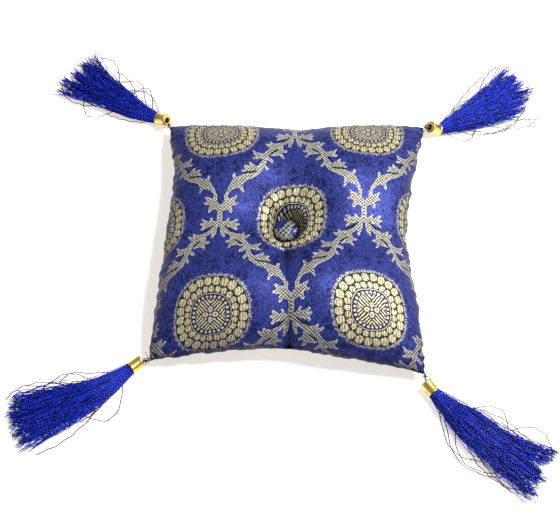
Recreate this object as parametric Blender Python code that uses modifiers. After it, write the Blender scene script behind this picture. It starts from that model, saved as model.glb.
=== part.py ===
"""A small square brocade cushion, buttoned in the middle, with a capped tassel tied to each corner.

It lies on its back on the surface z = 0, in metres, +Z up, and the camera of the photograph looks along +Y.
The origin is the middle of the whole footprint. Run with: blender --background --python part.py
"""

import math
import random

import bmesh
import bpy
from mathutils import Matrix, Vector

GAP = 0.0003  # left between pieces that touch

# The cushion's middle, off the origin because the tassels lie unevenly.
CUSHION_MIDDLE = (0.0060, 0.0116, 0.0)

# Corners of the seam, seen from above, from the cushion's middle. All four droop to one height.
CORNERS = {
    "front_left": (-0.1034, -0.0967),
    "front_right": (0.0947, -0.1069),
    "back_left": (-0.0943, 0.1023),
    "back_right": (0.1030, 0.1014),
}
CORNER_HEIGHT = 0.0085
SEAM_RISE = 0.0080  # how far the seam climbs from a corner to the middle of a side
CROWN = 0.0525  # how far the upper face would stand above the seam without its button
EDGE_ROUNDING = 0.52  # lower is fuller close to the seam
PANEL_FALL = 1.45  # higher keeps the crown flat for longer

# One row for each side, from its left or front end: how far it is drawn in at each quarter, then the valley
# that runs to it from the button: the valley's share of the crown, its half width and its place from -1 to 1.
SIDES = {
    # side: (first quarter, half, last quarter, share, half width, place)
    "left": (0.0030, 0.0055, 0.0072, 0.33, 0.037, 0.04),
    "right": (0.0056, 0.0138, 0.0091, 0.28, 0.031, 0.00),
    "front": (0.0066, 0.0104, 0.0055, 0.10, 0.020, -0.02),
    "back": (0.0048, 0.0085, 0.0042, 0.16, 0.032, 0.02),
}

VALLEY_BLEND = 0.15  # over what share of the panel two opposite valleys change into one another

# The pit that the button is pulled into, and the wide hollow round it.
PIT_MIDDLE = (-0.0045, 0.0045)
PIT_DEPTH = 0.0160
PIT_RADIUS = 0.0122
PIT_OPENED = 0.18  # how much wider the pit is towards the front, where the cloth rolls over its lip
PIT_STEEPNESS = 5.0
DISH_DEPTH = 0.0170
DISH_RADIUS = 0.0720

BUTTON_RADIUS = 0.0090
BUTTON_DOME = 0.0036  # above its widest ring
BUTTON_BACK = 0.0022  # below it
BUTTON_CLEARANCE = 0.0010  # between it and the pit, whose faces are flat between grid lines
BUTTON_RINGS = 5
BUTTON_SIDES = 32

FLAT_SHARE = 0.34  # the share of the underside's fall that lies flat on the surface
UNDERSIDE_RISE = 1.5
DIMPLE_DEPTH = 0.0065  # where the button's stitch comes out below
DIMPLE_RADIUS = 0.0130

PANEL_CELLS = 34  # grid cells along a side of each face
CELL_CROWDING = 0.085  # brings the grid lines together at the button and at the seam
RINGED = 0.38  # how far out, as a share of the panel, the grid lines run in rings round the button

CAP_LENGTH = 0.0100
CAP_RADIUS = 0.0049
CAP_BORE_RADIUS = 0.0042
CAP_HOLE_RADIUS = 0.0022
CAP_END_WALL = 0.0010
CAP_EDGE = 0.0006  # the rounding at both ends of a cap
CAP_SIDES = 20

HEAD_RADIUS = CAP_BORE_RADIUS - GAP  # the bound threads inside a cap
HEAD_SIDES = 16
HEAD_PROUD = 0.0008  # how far the bound threads show past a cap's mouth

LOCKS = 44  # in each tassel
LOCK_STEPS = 6
LOCK_CROWDING = 1.25  # brings a lock's steps towards its root, where the bundle bends
LAID_BY = 0.25  # the share of its line by which the bundle has come down from its cap onto the surface
TANGENT_STEP = 0.01
LOCK_ROOT = 0.0004  # how far past a cap's mouth a lock starts, inside the head
LOCK_SPREAD = 0.92  # how much of the head's radius the locks' middles take
LOCK_WIDTH_SHARE = 0.098  # half a lock's width, as a share of the tassel's half width there
LOCK_HEIGHT_SHARE = 0.080
LOCK_TIP = 0.55  # a lock's size at its tip, as a share
LENGTH_SCATTER = 0.11  # by what share at most a lock is shorter than its neighbours

TIE_RADIUS = 0.00045
KNOT_RADIUS = 0.00117
# The knot's outline: (place along it from its middle in knot radii, thickness in tie radii).
KNOT = ((-1.0, 0.6), (-0.5, 2.2), (0.0, 2.6), (0.6, 2.0), (1.2, 1.0))

# One tassel to a corner: where its cap's mouth is, which way the cap points in degrees from +X, how far its
# holed end is tipped up, the line that the threads follow from there with the half width and half height of
# the bundle, and how far along that line they end on the bundle's left, middle and right, looking outwards.
TASSELS = {
    "front_left": {
        "mouth": (-0.1163, -0.1013),
        "heading": 219.0,
        "tipped": 0.0,
        "line": (
            # (x, y, half width, half height)
            (-0.1419, -0.1196, 0.0098, 0.0050),
            (-0.1678, -0.1309, 0.0150, 0.0042),
            (-0.1941, -0.1405, 0.0196, 0.0032),
        ),
        "ends": (0.98, 1.00, 0.97),
        "seed": 3,
    },
    "front_right": {
        "mouth": (0.1014, -0.1204),
        "heading": 306.0,
        "tipped": 0.0,
        "line": (
            (0.1237, -0.1428, 0.0106, 0.0050),
            (0.1470, -0.1635, 0.0140, 0.0044),
            (0.1722, -0.1805, 0.0188, 0.0034),
        ),
        "ends": (0.98, 0.98, 0.97),
        "seed": 5,
    },
    "back_left": {
        "mouth": (-0.1040, 0.1129),
        "heading": 147.0,
        "tipped": 28.0,
        "line": (
            (-0.1265, 0.1238, 0.0086, 0.0051),
            (-0.1483, 0.1388, 0.0134, 0.0045),
            (-0.1696, 0.1552, 0.0200, 0.0034),
        ),
        "ends": (1.02, 0.97, 1.03),
        "seed": 8,
    },
    "back_right": {
        "mouth": (0.1148, 0.1030),
        "heading": 14.0,
        "tipped": 42.0,
        "line": (
            (0.1373, 0.1126, 0.0098, 0.0050),
            (0.1598, 0.1250, 0.0160, 0.0045),
            (0.1819, 0.1390, 0.0225, 0.0034),
        ),
        "ends": (0.98, 1.04, 0.70),
        "seed": 13,
    },
}

MATERIALS = {
    # name: (colour, roughness, metallic)
    "brocade": ((0.035, 0.040, 0.300, 1.0), 0.55, 0.0),
    "tassel_thread": ((0.012, 0.020, 0.420, 1.0), 0.45, 0.0),
    "cap_metal": ((0.850, 0.520, 0.120, 1.0), 0.28, 1.0),
    "tie_thread": ((0.020, 0.022, 0.060, 1.0), 0.70, 0.0),
}


def clear_scene():
    for obj in list(bpy.data.objects):
        bpy.data.objects.remove(obj, do_unlink=True)


def make_material(name):
    colour, roughness, metallic = MATERIALS[name]
    material = bpy.data.materials.new(name)
    material.use_nodes = True
    shader = material.node_tree.nodes["Principled BSDF"]
    shader.inputs["Base Color"].default_value = colour
    shader.inputs["Roughness"].default_value = roughness
    shader.inputs["Metallic"].default_value = metallic
    material.diffuse_color = colour
    return material


def add_object(name, data, material, collection, parent):
    obj = bpy.data.objects.new(name, data)
    obj.data.materials.append(material)
    obj.parent = parent
    collection.objects.link(obj)
    return obj


# Cushion


def between(rows, place):
    """A smooth row of numbers at this place, from 0 to 1, along a table of evenly spaced rows."""
    spans = len(rows) - 1
    index = min(int(place * spans), spans - 1)
    part = place * spans - index
    before = rows[max(index - 1, 0)]
    after = rows[min(index + 2, spans)]
    mixed = []
    for p0, p1, p2, p3 in zip(before, rows[index], rows[index + 1], after):
        slope_1, slope_2 = (p2 - p0) / 2, (p3 - p1) / 2
        square, cube = part * part, part**3
        mixed.append(
            (2 * cube - 3 * square + 1) * p1
            + (cube - 2 * square + part) * slope_1
            + (3 * square - 2 * cube) * p2
            + (cube - square) * slope_2
        )
    return mixed


def drawn_in(side, place):
    """How far a side is drawn in at this place along it, from -1 to 1."""
    first, half, last = SIDES[side][:3]
    return between([(0.0,), (first,), (half,), (last,), (0.0,)], (place + 1) / 2)[0]


def plan_point(s, t):
    """Where the panel's point (s, t) lies seen from above. Both run from -1 to 1, s to the right, t to the back."""
    right, back = (1 + s) / 2, (1 + t) / 2
    left, front = 1 - right, 1 - back
    x = y = 0.0
    for name, share in (
        ("front_left", front * left),
        ("front_right", front * right),
        ("back_left", back * left),
        ("back_right", back * right),
    ):
        x += share * CORNERS[name][0]
        y += share * CORNERS[name][1]
    x += drawn_in("left", t) * left**2 - drawn_in("right", t) * right**2
    y += drawn_in("front", s) * front**2 - drawn_in("back", s) * back**2
    return x, y


def seam_height(s, t):
    """The seam's height on the rim, carried smoothly over the panel."""
    return CORNER_HEIGHT + SEAM_RISE * (1 - abs(s * t) ** 3)


def valley_share(s, t):
    """How much of the crown is left by the valleys that run from the button to the four sides."""
    left = 1.0
    half_side = (CORNERS["back_right"][0] - CORNERS["back_left"][0]) / 2
    for side, across, along in (
        ("left", t, -s),
        ("right", t, s),
        ("front", s, -t),
        ("back", s, t),
    ):
        share, half_width, place = SIDES[side][3:]
        reach = 0.5 + 0.5 * math.tanh(along / VALLEY_BLEND)
        left -= share * reach * math.exp(-(((across - place) * half_side / half_width) ** 2))
    return left


def fullness(s, t):
    """The crown's share of its full height."""
    fall = (1 - abs(s) ** PANEL_FALL) * (1 - abs(t) ** PANEL_FALL)
    return max(0.0, fall) ** EDGE_ROUNDING


def from_pit(x, y):
    return math.hypot(x - PIT_MIDDLE[0], y - PIT_MIDDLE[1])


def pit_depth(x, y):
    """How far the pit sinks here. It is widest towards the front."""
    away = from_pit(x, y)
    frontness = max(0.0, PIT_MIDDLE[1] - y) / away if away > 0 else 0.0
    radius = PIT_RADIUS * (1 + PIT_OPENED * frontness**2)
    return PIT_DEPTH * math.exp(-((away / radius) ** PIT_STEEPNESS))


def upper_height(s, t, x, y):
    dish = DISH_DEPTH * math.exp(-((from_pit(x, y) / DISH_RADIUS) ** 2))
    crown = fullness(s, t) * (CROWN * valley_share(s, t) - dish)
    return seam_height(s, t) + crown - pit_depth(x, y)


def under_height(s, t, x, y):
    fall = 1 - (1 - s * s) * (1 - t * t)
    rise = max(0.0, (fall - FLAT_SHARE) / (1 - FLAT_SHARE)) ** UNDERSIDE_RISE
    dimple = max(0.0, 1 - (from_pit(x, y) / DIMPLE_RADIUS) ** 2) ** 2
    return seam_height(s, t) * rise + DIMPLE_DEPTH * dimple


def crowded(place):
    """Moves an evenly spaced grid line towards the middle or the rim, where the form needs more faces."""
    return place - CELL_CROWDING * math.sin(2 * math.pi * place)


def ringed(s, t):
    """Turns the square grid lines near the button into rings. Its last value says how strongly."""
    reach = max(abs(s), abs(t))
    strength = math.exp(-((reach / RINGED) ** 4))
    shrink = 1 - strength * (1 - reach / math.hypot(s, t)) if reach > 0 else 1.0
    return s * shrink, t * shrink, strength


def add_panel(mesh, is_upper):
    """Adds one face of the cushion: a grid, moved to its form."""
    made = bmesh.ops.create_grid(mesh, x_segments=PANEL_CELLS, y_segments=PANEL_CELLS, size=1.0)
    height_at = upper_height if is_upper else under_height
    middle = plan_point(0.0, 0.0)
    for vert in made["verts"]:
        s, t, strength = ringed(crowded(vert.co.x), crowded(vert.co.y))
        on_rim = max(abs(s), abs(t)) > 1 - 1e-6
        x, y = plan_point(s, t)
        x += strength * (PIT_MIDDLE[0] - middle[0])
        y += strength * (PIT_MIDDLE[1] - middle[1])
        vert.co = (x, y, seam_height(s, t) if on_rim else height_at(s, t, x, y))
    if not is_upper:
        faces = {face for vert in made["verts"] for face in vert.link_faces}
        bmesh.ops.reverse_faces(mesh, faces=list(faces))


def make_cushion(material, collection, parent):
    mesh = bmesh.new()
    add_panel(mesh, is_upper=True)
    add_panel(mesh, is_upper=False)
    bmesh.ops.remove_doubles(mesh, verts=mesh.verts, dist=1e-6)
    data = bpy.data.meshes.new("cushion_body")
    mesh.to_mesh(data)
    mesh.free()
    data.shade_smooth()
    return add_object("cushion_body", data, material, collection, parent)


def turned_object(name, profile, closed, steps, material, collection, parent):
    """Turns a profile of (radius, height) points round the local Z axis."""
    count = len(profile)
    edges = [(i, (i + 1) % count) for i in range(count if closed else count - 1)]
    data = bpy.data.meshes.new(name)
    data.from_pydata([(radius, 0.0, height) for radius, height in profile], edges, [])
    obj = add_object(name, data, material, collection, parent)
    screw = obj.modifiers.new("Turned", "SCREW")
    screw.axis = "Z"
    screw.steps = screw.render_steps = steps
    screw.use_merge_vertices = True
    screw.merge_threshold = 0.00001
    screw.use_smooth_shade = True
    return obj


def button_height():
    """The height of the button's widest ring, which clears the pit's wall all round."""
    half_side = (CORNERS["back_right"][0] - CORNERS["back_left"][0]) / 2
    highest = 0.0
    for side in range(BUTTON_SIDES):
        turn = 2 * math.pi * side / BUTTON_SIDES
        right, back = BUTTON_RADIUS * math.cos(turn), BUTTON_RADIUS * math.sin(turn)
        wall = upper_height(right / half_side, back / half_side, PIT_MIDDLE[0] + right, PIT_MIDDLE[1] + back)
        highest = max(highest, wall)
    return highest + BUTTON_CLEARANCE


def make_button(material, collection, parent):
    """The covered button at the bottom of the pit, domed above and below its widest ring."""
    profile = []
    for ring in range(2 * BUTTON_RINGS + 1):
        angle = math.pi * ring / (2 * BUTTON_RINGS)
        depth = BUTTON_DOME if angle < math.pi / 2 else BUTTON_BACK
        profile.append((BUTTON_RADIUS * math.sin(angle), depth * math.cos(angle)))
    profile[0] = (0.0, BUTTON_DOME)
    profile[-1] = (0.0, -BUTTON_BACK)
    button = turned_object("button", profile, False, BUTTON_SIDES, material, collection, parent)
    button.location = (*PIT_MIDDLE, button_height())
    return button


# Tassels


def cap_frame(tassel):
    """A frame at the cap's mouth, whose rim rests on the surface. Its Z points outwards along the cap."""
    turn, tip = math.radians(tassel["heading"]), math.radians(tassel["tipped"])
    outwards = Vector((math.cos(turn) * math.cos(tip), math.sin(turn) * math.cos(tip), -math.sin(tip)))
    sideways = Vector((-math.sin(turn), math.cos(turn), 0.0))
    upwards = outwards.cross(sideways)
    matrix = Matrix((sideways, upwards, outwards)).transposed().to_4x4()
    matrix.translation = Vector((*tassel["mouth"], CAP_RADIUS * math.cos(tip)))
    return matrix


def make_cap(corner, tassel, material, collection, parent):
    """A short metal tube with a holed end towards the cushion. Its mouth is at local Z = 0."""
    profile = (
        (CAP_BORE_RADIUS, 0.0),
        (CAP_RADIUS - CAP_EDGE / 2, 0.0),
        (CAP_RADIUS, -CAP_EDGE / 2),
        (CAP_RADIUS, -CAP_LENGTH + CAP_EDGE),
        (CAP_RADIUS - CAP_EDGE, -CAP_LENGTH),
        (CAP_HOLE_RADIUS, -CAP_LENGTH),
        (CAP_HOLE_RADIUS, -CAP_LENGTH + CAP_END_WALL),
        (CAP_BORE_RADIUS, -CAP_LENGTH + CAP_END_WALL),
    )
    cap = turned_object(f"cap_{corner}", profile, True, CAP_SIDES, material, collection, parent)
    cap.matrix_local = cap_frame(tassel)
    return cap


def bundle_rows(tassel):
    """The tassel's line from its cap's mouth outwards, as rows of x, y, half width and half height."""
    root = HEAD_RADIUS * LOCK_SPREAD
    return [(*tassel["mouth"], root, root), *tassel["line"]]


def bundle_section(tassel, place):
    """The bundle's middle, its sideways direction, half width and half height at this place along it."""
    rows = bundle_rows(tassel)
    x, y, half_width, half_height = between(rows, min(place, 1.0))
    ahead = between(rows, min(place + TANGENT_STEP, 1.0))
    behind = between(rows, max(place - TANGENT_STEP, 0.0))
    along = Vector((ahead[0] - behind[0], ahead[1] - behind[1], 0.0)).normalized()
    past = max(0.0, place - 1.0) * (Vector(rows[-1][:2]) - Vector(rows[-2][:2])).length * (len(rows) - 1)
    lifted = half_height * (1 + LOCK_HEIGHT_SHARE)
    settled = min(1.0, place / LAID_BY)
    height = cap_frame(tassel).translation.z * (1 - settled) + lifted * settled
    middle = Vector((x, y, height)) + along * past
    return middle, Vector((-along.y, along.x, 0.0)), half_width, half_height


def lock_end(tassel, across):
    """How far along the bundle's line a lock ends, from its place across it, -1 on the right and 1 on the left."""
    left, middle, right = tassel["ends"]
    side = left if across > 0 else right
    return middle + (side - middle) * abs(across)


def lock_sections(tassel, across, upward, end):
    """The three corners of a lock's section at each step from its root to its tip."""
    cap_sideways, cap_upwards, outwards = cap_frame(tassel).to_3x3().col
    sections = []
    for step in range(LOCK_STEPS + 1):
        place = end * (step / LOCK_STEPS) ** LOCK_CROWDING
        middle, sideways, half_width, half_height = bundle_section(tassel, place)
        upwards = Vector((0, 0, 1))
        if step == 0:
            middle = middle + outwards * LOCK_ROOT
            sideways, upwards = cap_sideways, cap_upwards
        thin = 1 - (1 - LOCK_TIP) * (step / LOCK_STEPS) ** 3
        half_lock = sideways * half_width * LOCK_WIDTH_SHARE * thin
        rise = upwards * half_height * LOCK_HEIGHT_SHARE
        centre = middle + sideways * across * half_width + upwards * upward * half_height
        sections.append((centre - half_lock - rise, centre + half_lock - rise, centre + rise * (2 * thin - 1)))
    return sections


def add_lock(mesh, sections):
    """Adds one three-sided lock of threads as a closed tube through its sections."""
    rings = [[mesh.verts.new(point) for point in section] for section in sections]
    for ring, following in zip(rings, rings[1:]):
        for i in range(3):
            j = (i + 1) % 3
            mesh.faces.new((ring[i], ring[j], following[j], following[i]))
    mesh.faces.new(rings[0][::-1])
    mesh.faces.new(rings[-1])


def make_locks(tassel, name, material, collection, parent):
    """The tassel's loose threads, gathered in locks that stand apart, before the head joins them."""
    scatter = random.Random(tassel["seed"])
    golden_turn = math.pi * (3 - math.sqrt(5))
    mesh = bmesh.new()
    for index in range(LOCKS):
        radius = math.sqrt((index + 0.5) / LOCKS)
        across = radius * math.cos(index * golden_turn)
        upward = radius * math.sin(index * golden_turn)
        end = lock_end(tassel, across) * (1 - LENGTH_SCATTER * scatter.random())
        add_lock(mesh, lock_sections(tassel, across, upward, end))
    bmesh.ops.recalc_face_normals(mesh, faces=mesh.faces)
    data = bpy.data.meshes.new(name)
    mesh.to_mesh(data)
    mesh.free()
    return add_object(name, data, material, collection, parent)


def make_skirt(corner, tassel, material, collection, helpers, parent):
    """A tassel's threads: the bound head inside the cap, with the locks fused into it."""
    locks = make_locks(tassel, f"locks_{corner}", material, helpers, parent)
    locks.hide_render = True
    locks.display_type = "WIRE"
    inner_end = -CAP_LENGTH + CAP_END_WALL + GAP
    profile = (
        (0.0, HEAD_PROUD),
        (HEAD_RADIUS, HEAD_PROUD),
        (HEAD_RADIUS, inner_end),
        (0.0, inner_end),
    )
    skirt = turned_object(f"skirt_{corner}", profile, False, HEAD_SIDES, material, collection, parent)
    skirt.matrix_local = cap_frame(tassel)
    union = skirt.modifiers.new("Locks", "BOOLEAN")
    union.operation = "UNION"
    union.solver = "EXACT"
    union.object = locks
    return skirt


def make_tie(corner, tassel, material, collection, parent):
    """The thread that ties a tassel to its corner: a knot at the corner, then a thread into the cap's hole."""
    frame = cap_frame(tassel)
    outwards = frame.to_3x3().col[2]
    hole = frame.translation - outwards * CAP_LENGTH
    tip = Vector((*CORNERS[corner], CORNER_HEIGHT))
    toward_hole = (hole - tip).normalized()
    knot = tip + toward_hole * (KNOT_RADIUS + 2 * GAP)
    route = [(knot + toward_hole * KNOT_RADIUS * place, thickness) for place, thickness in KNOT]
    route.append((hole - outwards * TIE_RADIUS, 1.0))
    route.append((hole + outwards * (CAP_END_WALL - GAP), 1.0))
    data = bpy.data.curves.new(f"tie_{corner}", "CURVE")
    data.dimensions = "3D"
    data.bevel_depth = TIE_RADIUS
    data.bevel_resolution = 1
    data.use_fill_caps = True
    spline = data.splines.new("POLY")
    spline.points.add(len(route) - 1)
    for point, (place, thickness) in zip(spline.points, route):
        point.co = (*place, 1.0)
        point.radius = thickness
    return add_object(f"tie_{corner}", data, material, collection, parent)


def main():
    clear_scene()
    collection = bpy.data.collections.new("tasselled_cushion")
    helpers = bpy.data.collections.new("helpers")
    bpy.context.scene.collection.children.link(collection)
    bpy.context.scene.collection.children.link(helpers)
    frame = bpy.data.objects.new("cushion_frame", None)
    frame.location = CUSHION_MIDDLE
    collection.objects.link(frame)
    materials = {name: make_material(name) for name in MATERIALS}
    make_cushion(materials["brocade"], collection, frame)
    make_button(materials["brocade"], collection, frame)
    for corner, tassel in TASSELS.items():
        make_cap(corner, tassel, materials["cap_metal"], collection, frame)
        make_skirt(corner, tassel, materials["tassel_thread"], collection, helpers, frame)
        make_tie(corner, tassel, materials["tie_thread"], collection, frame)


main()
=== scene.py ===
"""The looks of a small square brocade cushion with a sunk covered button and four capped tassels.

Each piece follows the sizes of its solid, and is finer. Lengths are in metres, with +Z up, and the camera
looks along +Y. The cloth's pattern is in millimetres of flat cloth.
"""

import math
import random

import bpy
import numpy as np
from mathutils import Matrix, Vector, noise


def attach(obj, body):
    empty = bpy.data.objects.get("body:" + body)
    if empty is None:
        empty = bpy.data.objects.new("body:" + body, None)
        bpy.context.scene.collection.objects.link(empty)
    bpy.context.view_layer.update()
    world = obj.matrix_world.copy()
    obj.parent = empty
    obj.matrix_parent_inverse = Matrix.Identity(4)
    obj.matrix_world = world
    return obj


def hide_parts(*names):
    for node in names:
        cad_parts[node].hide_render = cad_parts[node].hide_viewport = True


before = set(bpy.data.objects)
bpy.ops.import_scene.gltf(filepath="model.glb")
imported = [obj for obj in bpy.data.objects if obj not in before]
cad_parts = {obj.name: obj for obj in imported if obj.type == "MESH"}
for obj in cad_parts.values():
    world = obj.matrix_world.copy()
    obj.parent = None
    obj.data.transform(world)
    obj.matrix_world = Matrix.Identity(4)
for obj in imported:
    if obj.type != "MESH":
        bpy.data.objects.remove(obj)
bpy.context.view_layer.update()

MM = 1000.0  # millimetres in a metre

# The cushion's form, as in the part's source.
CUSHION_MIDDLE = (0.0060, 0.0116, 0.0)
CORNERS = {
    "front_left": (-0.1034, -0.0967),
    "front_right": (0.0947, -0.1069),
    "back_left": (-0.0943, 0.1023),
    "back_right": (0.1030, 0.1014),
}
BACK_HALF = (CORNERS["back_right"][0] - CORNERS["back_left"][0]) / 2
CORNER_HEIGHT = 0.0085
SEAM_RISE = 0.0080
CROWN = 0.0525
EDGE_ROUNDING = 0.52
PANEL_FALL = 1.45
SIDES = {
    # side: (drawn in at the first quarter, half and last quarter, valley's share, half width, place)
    "left": (0.0030, 0.0055, 0.0072, 0.33, 0.037, 0.04),
    "right": (0.0056, 0.0138, 0.0091, 0.28, 0.031, 0.00),
    "front": (0.0066, 0.0104, 0.0055, 0.10, 0.020, -0.02),
    "back": (0.0048, 0.0085, 0.0042, 0.16, 0.032, 0.02),
}
VALLEY_BLEND = 0.15
PIT_MIDDLE = (-0.0045, 0.0045)
PIT_DEPTH = 0.0160
PIT_RADIUS = 0.0122
PIT_OPENED = 0.18  # how much wider the pit is to the front
PIT_STEEPNESS = 5.0
DISH_DEPTH = 0.0170
DISH_RADIUS = 0.0720
FLAT_SHARE = 0.34  # how much of the underside lies flat
UNDERSIDE_RISE = 1.5
DIMPLE_DEPTH = 0.0065
DIMPLE_RADIUS = 0.0130

# The finer grid of the cover. The underside has one cell to four of the upper face's.
UPPER_CELLS = 280
UNDER_CELLS = UPPER_CELLS // 2
CELL_CROWDING = 0.085  # how far the lines crowd to the middle and the seam
HALF_SIDE = 0.1

# The cloth's outline, roughened beside the seam.
SEAM_LIP = 1.6  # millimetres
ROUGHNESS = 0.0016
ROUGH_SIZES = (0.0045, 0.0055)

# Sharp creases from the button or a seam: start, end, depth at both ends, half width.
CREASES = (
    ((-0.0050, -0.0200), (-0.0042, -0.0480), 0.0085, 0.0026, 0.0078),
    ((-0.0030, -0.0960), (-0.0034, -0.0560), 0.0100, 0.0002, 0.0070),
    ((0.0080, 0.0990), (0.0050, 0.0600), 0.0030, 0.0002, 0.0060),
    ((0.0120, 0.0090), (0.0360, 0.0220), 0.0014, 0.0001, 0.0055),
    ((-0.0180, 0.0080), (-0.0400, 0.0200), 0.0014, 0.0001, 0.0055),
    ((0.0160, -0.0060), (0.0520, -0.0100), 0.0016, 0.0001, 0.0060),
    ((-0.0200, -0.0040), (-0.0560, -0.0020), 0.0014, 0.0001, 0.0060),
)
CREASE_BLUNTNESS = 0.0006
CREASE_END = 1.6  # millimetres from the seam where a crease begins to close
CREASE_SHADE_FULL = 0.0080  # depth of a crease that takes the full painted shade
# the half width of the painted shade along a crease
CREASE_SHADE_WIDTH = 0.0030
PIT_LIP = 0.0200  # how far from the pit's middle the creases begin

# Soft swells of the filling, puckers along the seam and pleats round the pit.
SWELL_HEIGHT = 0.0009
SWELL_SIZE = 0.030
SWELL_INSET = 0.010
PUCKERS = 11  # on half a side
PUCKER_HEIGHT = 0.00045
PUCKER_LENGTH = 0.007
PUCKER_START = 0.001
WAVER_SIZE = 0.02
PLEATS = 9
PLEAT_HEIGHT = 0.00055
PLEAT_RADIUS = 0.0165
PLEAT_WIDTH = 0.008

# How much cloth the button gathers towards itself, in millimetres.
GATHERED = (4.5, 1.5)
GATHER_REACH = 16.0
GATHER_FADE = 34.0
PULLED = 1.6  # how far it pulls the cloth round it to the front
PULL_REACH = 44.0

# How the cloth lies on the face: a little off its grain, and unevenly eased when it was sewn and buttoned.
ROW_SLOPE = 0.050
COLUMN_SLOPE = -0.021
EASED_BACK = 0.8
MIDDLE_SHIFT = (1.3, 2.3)
MIDDLE_STRETCH = 0.038
EASE_REACH = 80.0
EASE_LIMIT = 1.6
DRAWN_ACROSS = 1.058  # the pattern below is drawn this much larger than it is woven
DRAWN_ALONG = 1.063

# Where the filling draws the cloth aside: the place on the flat cloth, the shift to the left and to the
# front, and how far the cloth is skewed there.
DRAWN_ASIDE = (
    (-58.5, -76.3, 2.0, 3.6, 0.07, 0.10),
    (59.7, -76.3, -3.0, 2.6, 0.04, 0.0),
)
DRAWN_REACH = 42.0

# The pattern's repeat as drawn, in millimetres, and where a medallion's middle lies.
REPEAT_ACROSS = 118.3
REPEAT_ALONG = 165.4
MEDALLION_AT = (0.6, 6.4)

# The weave, in millimetres: the sizes of its random crossings and the lengths of its regular rows.
FLECK_SIZE = (0.55, 0.80)
SPECK_SIZE = (0.85, 1.10)
DASH_SIZE = (0.90, 2.30)
SATIN_WEAVE = 0.75
LEAF_WEAVE = 2.65
BEAD_WEAVE = 2.1
STRIP_WEAVE = 2.8
ROW_WEAVE = 5.0
SEAM_SHADE_REACH = 15.0  # how far from the seam the painted shade begins, where the cloth turns over
STITCH_WIDTH = (0.3, 1.7)  # where the seam's dark stitches fade out

# The medallion, in millimetres from its middle.
MEDALLION_SQUASH = (0.95, 0.975)
MEDALLION_SQUARENESS = 2.4
FRINGE_RADIUS = 29.0
FRINGE_LOOPS = 40.0
DISC_RADIUS = 27.0
# Rings of beads: number, the ring's radius, a bead's half size outwards and along, softness and shift.
OUTER_BEADS = (24, 23.7, 2.92, 2.76, 0.09, 0.0)
INNER_BEADS = (24, 18.0, 2.14, 2.04, 0.11, 0.5)
DOTS = (26, 12.7, 0.95, 0.85, 0.2, 0.0)
BEAD_SQUARENESS = 2.6
PALE_RING = (14.75, 15.25)
BAND_RADIUS = 13.9
CORE_RADIUS = 11.0
PETAL_MIDDLE = 3.7
PETAL_HALF_LENGTH = 2.8
PETAL_HALF_WIDTH = 2.5

# The cloth's relief and its colours.
CLOTH_RELIEF = 0.00020
GROUND_BRIGHT = (0.033, 0.049, 0.262)
# GROUND_DARK also paints the shade where the cloth turns over to the seam
GROUND_DARK = (0.009, 0.011, 0.070)
# SPRIG_COLOUR also paints the shade in the creases and on the button
SPRIG_COLOUR = (0.005, 0.006, 0.034)
LEAF_LIGHT = (0.470, 0.455, 0.370)
LEAF_EDGE = (0.540, 0.550, 0.590)
LEAF_DARK = (0.052, 0.048, 0.056)
VEIN_COLOUR = (0.008, 0.009, 0.026)
OUTLINE = (0.020, 0.016, 0.010)
BEAD_LIGHT = (0.545, 0.525, 0.365)
BEAD_BROWN = (0.165, 0.130, 0.065)
FRINGE_LIGHT = (0.350, 0.340, 0.380)
FRINGE_DARK = (0.030, 0.031, 0.070)
PALE_LINE = (0.480, 0.430, 0.400)
BAND_DARK = (0.018, 0.018, 0.034)
DOT_PALE = (0.520, 0.510, 0.540)

BUTTON_RADIUS = 0.0090
BUTTON_DOME = 0.0036
BUTTON_BACK = 0.0022
BUTTON_CLEARANCE = 0.0010
BUTTON_PAINTED_SHADE = 0.45  # how dark the painted shade on the button's cover is, where it lies in the pit
BUTTON_STEPS = 32  # places round the button where the pit's wall is measured
BUTTON_RINGS = 28
BUTTON_SIDES = 96
BUTTON_SHRINK = 0.995
BUTTON_PLEATS = 17
BUTTON_PLEAT_SHARE = 0.010
# Where on the flat cloth the button's cover was cut.
BUTTON_CLOTH = (MEDALLION_AT[0] + REPEAT_ACROSS / 2 - 23.0, MEDALLION_AT[1] - 27.0)

CAP_LENGTH = 0.0100
CAP_RADIUS = 0.0049
CAP_BORE_RADIUS = 0.0042
CAP_HOLE_RADIUS = 0.0022
CAP_END_WALL = 0.0010
CAP_SIDES = 64
CAP_ROLL = 0.0011  # the rolled mouth's length
CAP_FOOT = 0.0016  # the length of the wider band at the other end
CAP_DRAWN_IN = 0.00022
CAP_STEPS = (0.0003, 0.0004)
CAP_ROUNDING = 0.0006
ROUNDING_STEPS = 4
CAP_DENTS = 0.018
DENTS_TO_METRE = 300  # how fine the dents are
CAP_RELIEF = 0.00012
GOLD = (0.960, 0.720, 0.240)
GOLD_WORN = (0.640, 0.400, 0.090)

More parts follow.
